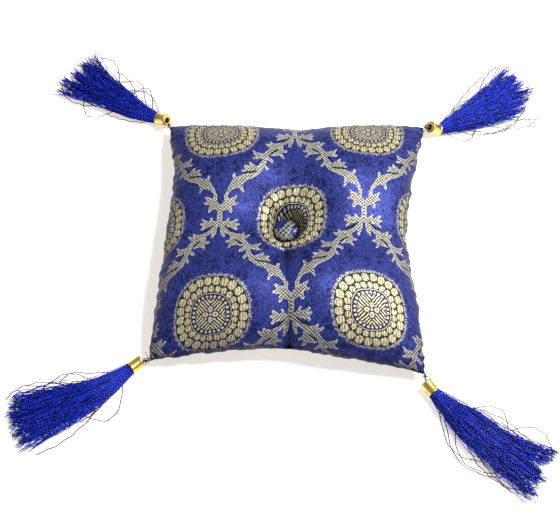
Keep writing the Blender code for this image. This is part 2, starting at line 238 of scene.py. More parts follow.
HEAD_GAP = 0.0003
HEAD_RADIUS = CAP_BORE_RADIUS - HEAD_GAP
LAID_BY = 0.25  # how far along the tassel its threads come down to the floor
TANGENT_STEP = 0.01
THREADS = 430
THREAD_STEPS = 38
THREAD_SIDES = 4
THREAD_RADIUS = 0.00030
THREAD_TIP = 0.55  # the tip's radius, to the thread's
THREAD_SPREAD = 0.92
THREAD_HELD = 0.6  # how much of its cap's length a thread reaches into
THREAD_TWIST = 0.0026
THREAD_RELIEF = 0.00008
THREAD_WAVES = ((1.3, 0.0014), (3.1, 0.0010), (6.3, 0.00055), (11.0, 0.00028))
LONGEST = 1.07  # the longest thread of a tassel, to the tassel's own length
LENGTH_SCATTER = 0.20
STRAGGLE = 0.35  # how far the outermost threads stand out from the bundle
LOOSE_FROM = 0.5
CURL = 0.0022  # how far a thread's tip curls aside
CURL_FROM = 0.85
STRANDS = 13  # loose strands that a tassel's threads part into
STRAND_DRIFT = 0.0034
STRAYS = 9  # single threads that stand away from each tassel
STRAY_RADIUS = 0.00037
STRAY_SHADE = -1.0
STRAY_STEPS = 60
STRAY_REACH = 0.017  # how far a stray bows out from the bundle's side
STRAY_SPANS = (0.35, 0.80)  # a stray's length, as a share of the tassel's
STRAY_BOWS = (1.0, 4.4)  # radians: a low bow stands off, and a high one comes back across the bundle
STRAY_KINK = 0.0004
STRAY_HEIGHT = 0.0035
THREAD_DARK = (0.002, 0.006, 0.130)
THREAD_BRIGHT = (0.012, 0.044, 0.760)
# painted shade in the furrows of the twist, and painted glints
THREAD_FURROW_SHADE = (0.001, 0.002, 0.050)
THREAD_PAINTED_GLINT = (0.060, 0.130, 0.900)
STRAY_COLOUR = (0.012, 0.012, 0.030)

TIE_RADIUS = 0.00045
TIE_SIDES = 6
TIE_STEPS = 24
TIE_TURN = 9  # radians that the doubled thread is twisted
TIE_TWIST = 0.0009
TIE_RELIEF = 0.00006
TIE_SHADE = 0.5
TIE_DARK = (0.006, 0.006, 0.020)
TIE_PALE = (0.050, 0.052, 0.110)
KNOT_RADIUS = 0.00117
KNOT_OFF = 0.0006
KNOT_STEPS = 60
KNOT_TURNS = 4
FRAYS = 12  # frayed ends at each corner
FRAY_LENGTH = 0.0070
FRAY_SPREAD = 0.0022
FRAY_STEPS = 12

# Each tassel: its cap's mouth, the way the cap points in degrees from +X, how far its outer end is tipped
# down, the line that the threads follow, and how far the left, middle and right ones reach along it.
TASSELS = {
    "front_left": {
        "mouth": (-0.1163, -0.1013),
        "heading": 219.0,
        "tipped": 0.0,
        "line": (
            # (x, y, half width, half height)
            (-0.1419, -0.1196, 0.0098, 0.0050),
            (-0.1678, -0.1309, 0.0150, 0.0042),
            (-0.1941, -0.1405, 0.0196, 0.0032),
        ),
        "ends": (0.98, 1.00, 0.97),
        "seed": 3,
    },
    "front_right": {
        "mouth": (0.1014, -0.1204),
        "heading": 306.0,
        "tipped": 0.0,
        "line": (
            (0.1237, -0.1428, 0.0106, 0.0050),
            (0.1470, -0.1635, 0.0140, 0.0044),
            (0.1722, -0.1805, 0.0188, 0.0034),
        ),
        "ends": (0.98, 0.98, 0.97),
        "seed": 5,
    },
    "back_left": {
        "mouth": (-0.1040, 0.1129),
        "heading": 147.0,
        "tipped": 28.0,
        "line": (
            (-0.1265, 0.1238, 0.0086, 0.0051),
            (-0.1483, 0.1388, 0.0134, 0.0045),
            (-0.1696, 0.1552, 0.0200, 0.0034),
        ),
        "ends": (1.02, 0.97, 1.03),
        "seed": 8,
    },
    "back_right": {
        "mouth": (0.1148, 0.1030),
        "heading": 14.0,
        "tipped": 42.0,
        "line": (
            (0.1373, 0.1126, 0.0098, 0.0050),
            (0.1598, 0.1250, 0.0160, 0.0045),
            (0.1819, 0.1390, 0.0225, 0.0034),
        ),
        "ends": (0.98, 1.04, 0.70),
        "seed": 13,
    },
}

# The camera, at the photograph's angle.
CAMERA_ELEVATION = 62.0
CAMERA_DISTANCE = 1.165
CAMERA_TARGET = (-0.0028, 0.0022, 0.0)
CAMERA_LENS = 100.0
CAMERA_SENSOR = 36.0

# The floor, a studio backdrop that glows a little, and the light.
FLOOR_COLOUR = (0.62, 0.59, 0.56)
FLOOR_GLOW = (1.0, 0.965, 0.905)
FLOOR_GLOW_STRENGTH = 0.64
FLOOR_HALF = 6.0
FLOOR_DROP = 0.0003
SKY_COLOUR = (0.97, 0.98, 1.0)
SKY_STRENGTH = 0.31
KEY_PLACE = (0.66, 0.14, 1.06)
KEY_SIZE = 0.32
KEY_POWER = 28.0
KEY_COLOUR = (1.0, 0.98, 0.95)


# Helpers


def new_object(name, vertices, faces):
    """A smooth mesh, placed at the cushion's middle."""
    data = bpy.data.meshes.new(name)
    data.from_pydata([tuple(v) for v in vertices], [], [tuple(f) for f in faces])
    data.update()
    data.shade_smooth()
    obj = bpy.data.objects.new(name, data)
    bpy.context.scene.collection.objects.link(obj)
    obj.location = CUSHION_MIDDLE
    return obj


def dress(obj, material, node):
    """Gives a piece its material and its body, and hides the solid that it stands for."""
    obj.data.materials.clear()
    obj.data.materials.append(material)
    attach(obj, "root")
    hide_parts(node)


def band(first, second, count):
    """The faces between two rings of points, from the numbers of their first points."""
    following = [*range(1, count), 0]
    return [(first + i, first + j, second + j, second + i) for i, j in enumerate(following)]


def add_attribute(obj, name, values):
    attribute = obj.data.attributes.new(name, "FLOAT", "POINT")
    attribute.data.foreach_set("value", np.asarray(values, np.float32))


def along_line(x, y, start, end):
    """How far along a line each point lies, from 0 to 1, and how far from it."""
    (ax, ay), (bx, by) = start, end
    length = (bx - ax) ** 2 + (by - ay) ** 2
    share = np.clip(((x - ax) * (bx - ax) + (y - ay) * (by - ay)) / length, 0, 1)
    return share, np.hypot(x - ax - share * (bx - ax), y - ay - share * (by - ay))


def between(rows, place):
    """A smooth row of numbers at each place, from 0 to 1, along a table of evenly spaced rows."""
    rows = np.asarray(rows, float)
    place = np.asarray(place, float)
    spans = len(rows) - 1
    index = np.clip((place * spans).astype(int), 0, spans - 1)
    part = (place * spans - index)[..., None]
    p0, p1 = rows[np.maximum(index - 1, 0)], rows[index]
    p2, p3 = rows[index + 1], rows[np.minimum(index + 2, spans)]
    square, cube = part**2, part**3
    return (
        (2 * cube - 3 * square + 1) * p1
        + (cube - 2 * square + part) * (p2 - p0) / 2
        + (3 * square - 2 * cube) * p2
        + (cube - square) * (p3 - p1) / 2
    )


# The cushion's form


def drawn_in(side, place):
    """How far a side is drawn in along it, from -1 to 1."""
    first, half, last = SIDES[side][:3]
    return between([(0.0,), (first,), (half,), (last,), (0.0,)], (place + 1) / 2)[..., 0]


def plan_points(s, t):
    """Where the panel's points lie seen from above. s runs to the right and t to the back, from -1 to 1."""
    right, back = (1 + s) / 2, (1 + t) / 2
    left, front = 1 - right, 1 - back
    x, y = np.zeros_like(s), np.zeros_like(s)
    for name, share in (
        ("front_left", front * left),
        ("front_right", front * right),
        ("back_left", back * left),
        ("back_right", back * right),
    ):
        x += share * CORNERS[name][0]
        y += share * CORNERS[name][1]
    x += drawn_in("left", t) * left**2 - drawn_in("right", t) * right**2
    y += drawn_in("front", s) * front**2 - drawn_in("back", s) * back**2
    return x, y


def seam_height(s, t):
    return CORNER_HEIGHT + SEAM_RISE * (1 - np.abs(s * t) ** 3)


def valley_share(s, t):
    """How much of the crown is left in the valleys that run from the button to the sides."""
    left = np.ones_like(s)
    for side, across, along in (("left", t, -s), ("right", t, s), ("front", s, -t), ("back", s, t)):
        share, half_width, place = SIDES[side][3:]
        reach = 0.5 + 0.5 * np.tanh(along / VALLEY_BLEND)
        left -= share * reach * np.exp(-(((across - place) * BACK_HALF / half_width) ** 2))
    return left


def fullness(s, t):
    fall = (1 - np.abs(s) ** PANEL_FALL) * (1 - np.abs(t) ** PANEL_FALL)
    return np.maximum(0.0, fall) ** EDGE_ROUNDING


def from_pit(x, y):
    return np.hypot(x - PIT_MIDDLE[0], y - PIT_MIDDLE[1])


def round_pit(x, y):
    return np.arctan2(y - PIT_MIDDLE[1], x - PIT_MIDDLE[0])


def crown_height(s, t, x, y):
    """The upper face without its pit."""
    dish = DISH_DEPTH * np.exp(-((from_pit(x, y) / DISH_RADIUS) ** 2))
    return seam_height(s, t) + fullness(s, t) * (CROWN * valley_share(s, t) - dish)


def pit_depth(x, y):
    turn = round_pit(x, y)
    radius = PIT_RADIUS * (1 + PIT_OPENED * np.maximum(0, -np.sin(turn)) ** 2)
    return PIT_DEPTH * np.exp(-((from_pit(x, y) / radius) ** PIT_STEEPNESS))


def crease_depth(x, y):
    """Depth of the sharp creases, V-shaped valleys along a line, and how much painted shade lies in them.
    """
    depth, crease_shade = np.zeros_like(x), np.zeros_like(x)
    for start, end, first, last, half_width in CREASES:
        share, away = along_line(x, y, start, end)
        here = first + (last - first) * share
        depth += here * np.exp(-np.hypot(away, CREASE_BLUNTNESS) / half_width)
        # painted shade along the middle of each crease, fullest in the deepest ones
        crease_shade += (here / CREASE_SHADE_FULL) ** 2 * np.exp(-((away / CREASE_SHADE_WIDTH) ** 2))
    clear = 1 - np.exp(-((from_pit(x, y) / PIT_LIP) ** 4))
    return depth * clear, np.minimum(1, crease_shade * clear)


def under_height(s, t, x, y):
    fall = 1 - (1 - s * s) * (1 - t * t)
    rise = np.maximum(0.0, (fall - FLAT_SHARE) / (1 - FLAT_SHARE)) ** UNDERSIDE_RISE
    dimple = np.maximum(0.0, 1 - (from_pit(x, y) / DIMPLE_RADIUS) ** 2) ** 2
    return seam_height(s, t) * rise + DIMPLE_DEPTH * dimple


def cloud(x, y, size, seed):
    """Soft random swells of this size, about -1 to 1."""
    flat = [noise.noise((a / size, b / size, seed)) for a, b in zip(x.ravel(), y.ravel())]
    return np.array(flat).reshape(x.shape)


def creases(s, t, x, y):
    """The cloth's small swells, the puckers along its seam and the pleats that run into the pit."""
    turn = round_pit(x, y)
    inside = np.minimum(1 - np.abs(s), 1 - np.abs(t)) * HALF_SIDE
    height = SWELL_HEIGHT * cloud(x, y, SWELL_SIZE, 1.5) * np.minimum(1, inside / SWELL_INSET)
    for across, along, seed in ((s, t, 4.5), (t, s, 7.5)):
        edge = (1 - np.abs(along)) * HALF_SIDE
        shift = cloud(across * HALF_SIDE, along * HALF_SIDE, WAVER_SIZE, seed)
        pucker = np.sin(2 * math.pi * (across * PUCKERS + shift * 1.5))
        pucker *= np.exp(-edge / PUCKER_LENGTH) * (1 - np.exp(-edge / PUCKER_START))
        height += PUCKER_HEIGHT * pucker
    pleat = np.cos(PLEATS * turn + 2.0 * cloud(x, y, WAVER_SIZE, 9.5))
    ring = np.exp(-(((from_pit(x, y) - PLEAT_RADIUS) / PLEAT_WIDTH) ** 2))
    return height + PLEAT_HEIGHT * pleat * ring


def grid_lines(cells):
    """Places of the grid lines from -1 to 1, close together at the button and at the seam."""
    even = np.linspace(-1, 1, cells + 1)
    return even - CELL_CROWDING * np.sin(2 * math.pi * even)


def cloth_lengths(x, y, z):
    """Flat cloth coordinates in millimetres: lengths along the grid's lines from its middle ones."""

    def lengths(axis):
        step = np.sqrt(sum(np.diff(a, axis=axis) ** 2 for a in (x, y, z))) * MM
        pad = [(0, 0), (0, 0)]
        pad[axis] = (1, 0)
        total = np.pad(np.cumsum(step, axis=axis), pad)
        return total - np.take(total, [x.shape[axis] // 2], axis=axis)

    return lengths(1), lengths(0)


def gathered(u, v, x, y):
    """Shifts the cloth outwards round the button, which holds more cloth than shows."""
    away = from_pit(x, y) * MM
    turn = round_pit(x, y)
    more = (1 - np.exp(-((away / GATHER_REACH) ** 2))) * np.exp(-((away / GATHER_FADE) ** 2))
    pulled = np.exp(-((away / PULL_REACH) ** 4))
    return u + GATHERED[0] * more * np.cos(turn), v + GATHERED[1] * more * np.sin(turn) + PULLED * pulled


def eased(u, v):
    """Places on the flat cloth, from lengths along the face."""
    v = v - ROW_SLOPE * u
    u = u - COLUMN_SLOPE * v
    part = np.clip((v / EASE_REACH) ** 2, 0, EASE_LIMIT)
    u = u * (1 + MIDDLE_STRETCH * (1 - part)) - MIDDLE_SHIFT[0] * (1 - part)
    v = v - EASED_BACK * part - MIDDLE_SHIFT[1] * (1 - part)
    return u * DRAWN_ACROSS, v * DRAWN_ALONG


def drawn_aside(u, v):
    """Shifts and skews the cloth a little in places, as the filling under it does."""
    for middle_u, middle_v, left, front, skew_u, skew_v in DRAWN_ASIDE:
        du, dv = u - middle_u, v - middle_v
        near = np.exp(-(du**2 + dv**2) / DRAWN_REACH**2)
        u, v = u + near * (left + skew_u * dv), v + near * (front + skew_v * du)
    return u, v


def seam_distance(s, t):
    """Roughly how far each point lies from the seam, in millimetres."""
    return np.minimum(1 - np.abs(s), 1 - np.abs(t)) * HALF_SIDE * MM


def roughened(x, y, s, t):
    """Pushes the points beside the seam in and out a little, where stitches pucker it."""
    near = np.exp(-seam_distance(s, t) / SEAM_LIP)
    across = cloud(x, y, ROUGH_SIZES[0], 21.5) * ROUGHNESS * near
    along = cloud(x, y, ROUGH_SIZES[1], 24.5) * ROUGHNESS * near
    return x + across * np.abs(s) ** 8, y + along * np.abs(t) ** 8


def underside_faces(low, number):
    """The underside's faces. Those at the seam also take in the upper face's points between theirs."""
    last = UNDER_CELLS - 1
    for j in range(UNDER_CELLS):
        for i in range(UNDER_CELLS):
            ring = [low[j, i]]
            if i == 0:
                ring.append(number[2 * j + 1, 0])
            ring.append(low[j + 1, i])
            if j == last:
                ring.append(number[-1, 2 * i + 1])
            ring.append(low[j + 1, i + 1])
            if i == last:
                ring.append(number[2 * j + 1, -1])
            ring.append(low[j, i + 1])
            if j == 0:
                ring.append(number[0, 2 * i + 1])
            yield tuple(int(n) for n in ring)


def make_cover():
    """The filled cover: a fine upper face and a plainer underside, joined along the seam."""
    s, t = np.meshgrid(grid_lines(UPPER_CELLS), grid_lines(UPPER_CELLS))
    x, y = plan_points(s, t)
    crown = crown_height(s, t, x, y)
    u, v = drawn_aside(*gathered(*eased(*cloth_lengths(x, y, crown)), x, y))
    z = crown - pit_depth(x, y) + creases(s, t, x, y)
    depth, crease_shade = crease_depth(x, y)
    z -= depth * np.minimum(1, seam_distance(s, t) / CREASE_END)
    x, y = roughened(x, y, s, t)
    side = UPPER_CELLS + 1
    points = [np.stack([x, y, z], -1).reshape(-1, 3)]
    cloth = [np.stack([u, v], -1).reshape(-1, 2)]
    seam = [seam_distance(s, t).ravel()]
    # painted shade in the creases, kept as an attribute; the underside has none
    painted_shades = [crease_shade.ravel()]
    number = np.arange(side * side).reshape(side, side)
    rings = np.stack([number[:-1, :-1], number[:-1, 1:], number[1:, 1:], number[1:, :-1]], -1)
    faces = [tuple(ring) for ring in rings.reshape(-1, 4).tolist()]

    s, t = s[::2, ::2], t[::2, ::2]
    x, y = plan_points(s, t)
    z = under_height(s, t, x, y)
    u, v = cloth_lengths(x, y, z)
    inner = np.ones(s.shape, bool)
    inner[0, :] = inner[-1, :] = inner[:, 0] = inner[:, -1] = False
    low = number[::2, ::2].copy()
    low[inner] = side * side + np.arange(inner.sum())
    points.append(np.stack([x, y, z], -1)[inner])
    cloth.append(np.stack([u, v + REPEAT_ALONG / 2], -1)[inner])
    seam.append(seam_distance(s, t)[inner])
    painted_shades.append(np.zeros(inner.sum()))
    faces.extend(underside_faces(low, number))
    points, cloth = np.concatenate(points), np.concatenate(cloth)
    obj = new_object("cushion_cover", points.tolist(), faces)
    set_cloth(obj, cloth, np.concatenate(seam), np.concatenate(painted_shades))
    return obj


# The pattern's leaves: strokes on one repeat


# Strokes of the right half of one trellis joint and the vine that leaves it, in millimetres from the joint:
# each is (x, y, half width) points in a row. The left half mirrors it.
LEAF_STROKES = (
    ((0.0, 6.5, 1.9), (0.0, -5.0, 1.9)),
    ((0.5, 6.8, 2.2), (4.6, 10.4, 3.2), (7.6, 13.2, 3.0)),
    ((7.0, 13.4, 2.0), (10.0, 15.8, 1.4), (11.9, 18.0, 0.7)),
    ((7.0, 12.0, 1.9), (10.0, 12.2, 1.5), (12.8, 12.4, 0.9)),
    ((6.0, 10.0, 1.8), (7.6, 7.4, 1.5), (8.3, 5.4, 1.2)),
    ((5.0, 12.4, 1.6), (4.0, 15.8, 1.3), (4.2, 18.4, 1.5)),
    ((0.0, -4.6, 1.9), (4.3, -9.7, 1.9), (8.6, -14.6, 1.9), (14.6, -19.2, 2.2), (20.0, -24.0, 2.1)),
    ((20.0, -24.0, 2.1), (23.8, -29.6, 1.9), (25.6, -36.0, 1.9), (28.6, -42.2, 2.2), (35.0, -46.6, 2.6)),
    ((35.0, -46.6, 2.2), (41.0, -49.4, 2.6), (45.0, -52.6, 3.8), (48.2, -54.8, 3.4)),
    ((48.2, -54.8, 3.2), (51.6, -58.0, 1.8), (53.8, -61.4, 1.1), (54.6, -64.2, 0.9)),
    ((44.4, -54.6, 2.0), (42.8, -58.2, 1.2), (42.0, -60.4, 0.7)),
    ((47.6, -51.8, 1.5), (48.8, -48.4, 1.1), (49.0, -46.6, 0.9)),
    ((2.0, -5.6, 1.6), (6.6, -6.0, 2.6), (10.8, -7.0, 2.2)),
    ((5.6, -4.4, 1.3), (6.4, -1.4, 0.9)),
    ((9.6, -5.0, 1.4), (13.2, -2.0, 0.9)),
    ((10.4, -7.2, 1.6), (14.4, -5.6, 0.9)),
    ((10.4, -8.2, 1.5), (13.6, -10.8, 0.8)),
    ((2.4, -9.6, 1.3), (3.4, -14.4, 1.7), (4.6, -19.2, 0.8)),
    ((13.4, -17.4, 1.8), (17.4, -17.6, 1.9), (19.4, -14.8, 0.8)),
    ((17.2, -18.8, 1.8), (20.6, -18.8, 1.5), (23.2, -16.8, 0.8)),
    ((10.6, -20.0, 1.4), (12.2, -24.2, 2.7), (14.2, -26.4, 2.0)),
    ((11.4, -24.0, 1.8), (7.2, -24.2, 1.1)),
    ((12.0, -26.4, 1.5), (9.4, -30.4, 0.8)),
    ((14.8, -26.4, 1.5), (18.4, -28.4, 0.8)),
    ((21.6, -31.6, 1.4), (18.6, -34.2, 1.4)),
    ((24.0, -29.0, 1.9), (28.4, -29.8, 2.4), (31.6, -28.0, 1.6)),
    ((30.4, -28.6, 1.3), (33.4, -25.6, 0.7)),
    ((29.4, -31.2, 1.5), (33.8, -32.6, 0.8)),
    ((24.8, -37.6, 1.5), (22.2, -41.0, 0.9)),
    ((30.0, -41.4, 1.6), (34.2, -40.4, 2.6), (38.2, -42.6, 2.2)),
    ((34.0, -39.6, 1.4), (36.6, -36.6, 0.8)),
    ((37.0, -41.2, 1.4), (40.8, -39.6, 0.8)),
    ((38.2, -43.2, 1.6), (42.0, -44.0, 0.8)),
)
# Dark veins between a leaf and its vine.
VEIN_STROKES = (
    ((4.6, -8.0, 0.35), (8.8, -12.6, 0.5), (14.0, -14.6, 0.3)),
    ((13.8, -22.0, 0.35), (17.6, -25.2, 0.4), (19.4, -26.6, 0.2)),
    ((26.6, -33.4, 0.35), (29.4, -36.4, 0.4), (31.2, -38.6, 0.3)),
    ((31.0, -43.4, 0.3), (35.6, -44.6, 0.5), (40.4, -45.2, 0.5)),
)
# One sprig of the ground: a small flower on a stalk with two leaves.
SPRIG_STROKES = (
    ((0.0, -4.6, 0.35), (0.3, 0.0, 0.35), (0.0, 3.0, 0.35)),
    ((0.0, -1.6, 0.5), (2.2, -0.2, 0.9), (3.4, 0.2, 0.4)),
    ((0.0, -3.0, 0.5), (-2.2, -1.8, 0.9), (-3.4, -1.4, 0.4)),
    ((0.0, 4.0, 1.1), (0.0, 4.2, 1.1)),
    ((-1.8, 3.2, 0.8), (-1.7, 3.4, 0.8)),
    ((1.8, 3.4, 0.8), (1.8, 3.6, 0.8)),
    ((-1.0, 5.8, 0.7), (-0.9, 5.9, 0.7)),
    ((1.1, 5.8, 0.7), (1.1, 5.9, 0.7)),
)
OUTSIDE = -9.0  # the depth inside a stroke of a point that is far from all of them
VINE_REACH = (62.0, 24.0, -64.0)  # how far a joint's strokes reach across, to the back and to the front
SPRIG_REACH = 8.0
# Where sprigs stand in one repeat: millimetres from a medallion's middle, and degrees of turn.
SPRIG_PLACES = (
    (33.0, 6.0, 20.0),
    (34.0, -12.0, 150.0),
    (-33.0, 8.0, -25.0),
    (-34.0, -12.0, 200.0),
    (0.0, 36.0, 0.0),
    (12.0, 42.0, 160.0),
    (-13.0, 44.0, 190.0),
    (0.0, -36.0, 180.0),
    (12.0, -41.0, 10.0),
    (-12.0, -43.0, -15.0),
    (24.0, 27.0, 60.0),
    (-25.0, 27.0, -60.0),
    (24.0, -28.0, 120.0),
    (-24.0, -28.0, -120.0),
)


def stroke_depth(x, y, strokes):
    """How deep each point lies inside the nearest stroke, in millimetres, and below 0 outside."""
    depth = np.full(x.shape, OUTSIDE)
    for stroke in strokes:
        for (*start, first), (*end, last) in zip(stroke, stroke[1:]):
            share, away = along_line(x, y, start, end)
            depth = np.maximum(depth, first + share * (last - first) - away)
    return depth


def lattice(offset):
    """Places of one kind of point of the pattern over the whole panel: rows set off by half a repeat."""
    for row in range(-3, 4):
        for column in range(-3, 4):
            shift = REPEAT_ACROSS / 2 if row % 2 else 0.0
            yield (
                MEDALLION_AT[0] + offset + column * REPEAT_ACROSS + shift,
                MEDALLION_AT[1] + row * REPEAT_ALONG / 2,
            )


def set_cloth(obj, cloth, edge, painted_shade):
    """Stores the flat cloth coordinates as a UV map, and what the pattern and the painted shade need as
    attributes.
    """
    data = obj.data
    layer = data.uv_layers.new(name="cloth")
    corners = np.zeros(len(data.loops), int)
    data.loops.foreach_get("vertex_index", corners)
    layer.data.foreach_set("uv", (cloth[corners] / MM).astype(np.float32).ravel())
    u, v = cloth[:, 0], cloth[:, 1]
    leaf, vein, sprig = (np.full(len(u), OUTSIDE) for _ in range(3))
    across, back, front = VINE_REACH
    for x, y in lattice(REPEAT_ACROSS / 2):
        near = (np.abs(u - x) < across) & (v - y < back) & (v - y > front)
        dx, dy = np.abs(u[near] - x), v[near] - y
        leaf[near] = np.maximum(leaf[near], stroke_depth(dx, dy, LEAF_STROKES))
        vein[near] = np.maximum(vein[near], stroke_depth(dx, dy, VEIN_STROKES))
    for x, y in lattice(0.0):
        for across, along, turn in SPRIG_PLACES:
            dx, dy = u - x - across, v - y - along
            near = np.hypot(dx, dy) < SPRIG_REACH
            c, s = math.cos(math.radians(turn)), math.sin(math.radians(turn))
            dx, dy = dx[near] * c + dy[near] * s, dy[near] * c - dx[near] * s
            sprig[near] = np.maximum(sprig[near], stroke_depth(dx, dy, SPRIG_STROKES))
    fields = (("leaf", leaf), ("vein", vein), ("sprig", sprig), ("edge", edge), ("painted_shade", painted_shade))
    for name, values in fields:
        add_attribute(obj, name, values)


# Materials


class Field:
    """A number at each point of a surface. Sums with it add Math nodes to its material."""

    def __init__(self, tree, socket):
        self.tree = tree
        self.socket = socket

    def math(self, operation, *others):
        node = self.tree.nodes.new("ShaderNodeMath")
        node.operation = operation
        for place, value in zip(node.inputs, (self, *others)):
            if isinstance(value, Field):
                self.tree.links.new(value.socket, place)
            else:
                place.default_value = value
        return Field(self.tree, node.outputs[0])

    def __add__(self, other):
        return self.math("ADD", other)

    def __sub__(self, other):
        return self.math("SUBTRACT", other)

    def __mul__(self, other):
        return self.math("MULTIPLY", other)

    def __truediv__(self, other):
        return self.math("DIVIDE", other)

    def size(self):
        return self.math("ABSOLUTE")

    def wave(self, length):
        """A sine wave of this length."""
        return (self * (2 * math.pi / length)).math("SINE")

    def step(self, low, high):
        """Rises smoothly from 0 to 1 between two values."""
        node = self.tree.nodes.new("ShaderNodeMapRange")
        node.interpolation_type = "SMOOTHSTEP"
        self.tree.links.new(self.socket, node.inputs["Value"])
        set_inputs(node, {"From Min": low, "From Max": high})
        return Field(self.tree, node.outputs["Result"])

    def fall(self, low, high):
        """Falls smoothly from 1 to 0 between two values."""
        return self.step(low, high).math("MULTIPLY_ADD", -1.0, 1.0)

    def inside(self, low, high, soft):
        """1 where the value is between two limits."""
        return self.step(low - soft, low + soft) * self.fall(high - soft, high + soft)


def new_material(name):
    material = bpy.data.materials.new(name)
    material.use_nodes = True
    return material, material.node_tree, material.node_tree.nodes["Principled BSDF"]


def set_inputs(node, values):
    for name, value in values.items():
        node.inputs[name].default_value = value


def layered(tree, colour, *layers):
    """Lays colours over one another. A layer is how far it covers, and its colour."""
    for cover, over in layers:
        node = tree.nodes.new("ShaderNodeMix")
        node.data_type = "RGBA"
        tree.links.new(cover.socket, node.inputs[0])
        for place, value in ((node.inputs[6], colour), (node.inputs[7], over)):
            if isinstance(value, tuple):
                place.default_value = (*value, 1.0)
            else:
                tree.links.new(value, place)
        colour = node.outputs[2]
    return colour


def noise_field(tree, vector, scale, detail):
    node = tree.nodes.new("ShaderNodeTexNoise")
    set_inputs(node, {"Scale": scale, "Detail": detail})
    tree.links.new(vector, node.inputs["Vector"])
    return Field(tree, node.outputs["Fac"])


def crossing_field(tree, u, v, size):
    """A random shade for each crossing of threads of this width and height, from 0 to 1."""
    cell = tree.nodes.new("ShaderNodeCombineXYZ")
    for place, value in zip(cell.inputs, ((u / size[0]).math("FLOOR"), (v / size[1]).math("FLOOR"))):
        tree.links.new(value.socket, place)
    shade = tree.nodes.new("ShaderNodeTexWhiteNoise")
    shade.noise_dimensions = "2D"
    tree.links.new(cell.outputs[0], shade.inputs["Vector"])
    return Field(tree, shade.outputs["Value"])


def attribute_field(tree, name):
    node = tree.nodes.new("ShaderNodeAttribute")
    node.attribute_name = name
    return Field(tree, node.outputs["Fac"])


def add_bump(tree, shader, height, distance):
    bump = tree.nodes.new("ShaderNodeBump")
    bump.inputs["Distance"].default_value = distance
    tree.links.new(height.socket, bump.inputs["Height"])
    tree.links.new(bump.outputs[0], shader.inputs["Normal"])


class Weave:
    """The flat cloth coordinates, in millimetres, and the uneven weaving that all the motifs share."""

    def __init__(self, tree):
        coordinates = tree.nodes.new("ShaderNodeUVMap")
        coordinates.uv_map = "cloth"
        parts = tree.nodes.new("ShaderNodeSeparateXYZ")
        cloth = coordinates.outputs[0]
        tree.links.new(cloth, parts.inputs[0])
        self.u = Field(tree, parts.outputs[0]) * MM
        self.v = Field(tree, parts.outputs[1]) * MM
        self.waver = noise_field(tree, cloth, 240.0, 1.0) - 0.5
        self.sway = noise_field(tree, cloth, 150.0, 1.0) - 0.5
        self.tone = noise_field(tree, cloth, 45.0, 2.0) - 0.5
        self.fleck = crossing_field(tree, self.u, self.v, FLECK_SIZE)
        self.speck = crossing_field(tree, self.u, self.v, SPECK_SIZE)
        self.dash = crossing_field(tree, self.u, self.v, DASH_SIZE)


def ground_colour(tree, weave):
    """A satin of fine upright threads, with dark dashes and sprigs."""
    grain = weave.fleck * 0.55 + weave.speck * 0.45 + weave.tone * 0.5
    sprig = attribute_field(tree, "sprig") + (weave.speck - 0.5) * 0.7
    return layered(
        tree,
        GROUND_DARK,
        (grain.step(0.12, 0.72), GROUND_BRIGHT),
        (weave.dash.step(0.86, 0.88) * 0.70, SPRIG_COLOUR),
        (sprig.step(-0.10, 0.20) * 0.85, SPRIG_COLOUR),
    )


def woven_leaf(tree, weave):
    """A leaf's place, its lines of weave and its colour: light threads over dark ones, on the slant."""
    joint = (weave.u - (MEDALLION_AT[0] + REPEAT_ACROSS / 4)).math("PINGPONG", REPEAT_ACROSS / 4)
    leaf = attribute_field(tree, "leaf") + (weave.fleck - 0.5) * 0.6
    lines, knots = (weave.v - joint).wave(LEAF_WEAVE), (weave.v + joint).wave(LEAF_WEAVE)
    hatch = (lines * 0.75 + knots * 0.65 + (weave.fleck - 0.5) * 0.7).step(-0.20, 0.40)
    rim = leaf.inside(0.0, 0.55, 0.15) * weave.speck.step(0.2, 0.6)
    colour = layered(tree, LEAF_DARK, (hatch, LEAF_LIGHT), (rim, LEAF_EDGE))
    return leaf.step(-0.15, 0.15), hatch, colour


def medallion_place(weave):
    """The place in the nearer medallion, in millimetres from its middle."""

    def centred(across, along):
        x = (weave.u - (MEDALLION_AT[0] + across)).math("WRAP", REPEAT_ACROSS / 2, -REPEAT_ACROSS / 2)
        y = (weave.v - (MEDALLION_AT[1] + along)).math("WRAP", REPEAT_ALONG / 2, -REPEAT_ALONG / 2)
        return x, y, x * x + y * y

    x1, y1, far1 = centred(0.0, 0.0)
    x2, y2, far2 = centred(REPEAT_ACROSS / 2, REPEAT_ALONG / 2)
    nearer = far2.math("LESS_THAN", far1)
    x = (x1 + (x2 - x1) * nearer) * MEDALLION_SQUASH[0] + weave.waver * 1.5
    y = (y1 + (y2 - y1) * nearer) * MEDALLION_SQUASH[1] + weave.sway * 1.8
    return x, y


def beads(radius, turn, count, middle, half_radial, half_along, soft, shift):
    """A ring of rounded beads: 1 inside each, with dark gaps left between them."""
    place = turn * (count / (2 * math.pi)) + shift
    off = (place - place.math("FLOOR")) - 0.5
    along = off * radius * (2 * math.pi / count) / half_along
    radial = (radius - middle) / half_radial
    reach = along.size().math("POWER", BEAD_SQUARENESS) + radial.size().math("POWER", BEAD_SQUARENESS)
    return reach.fall(1.0 - soft, 1.0 + soft)


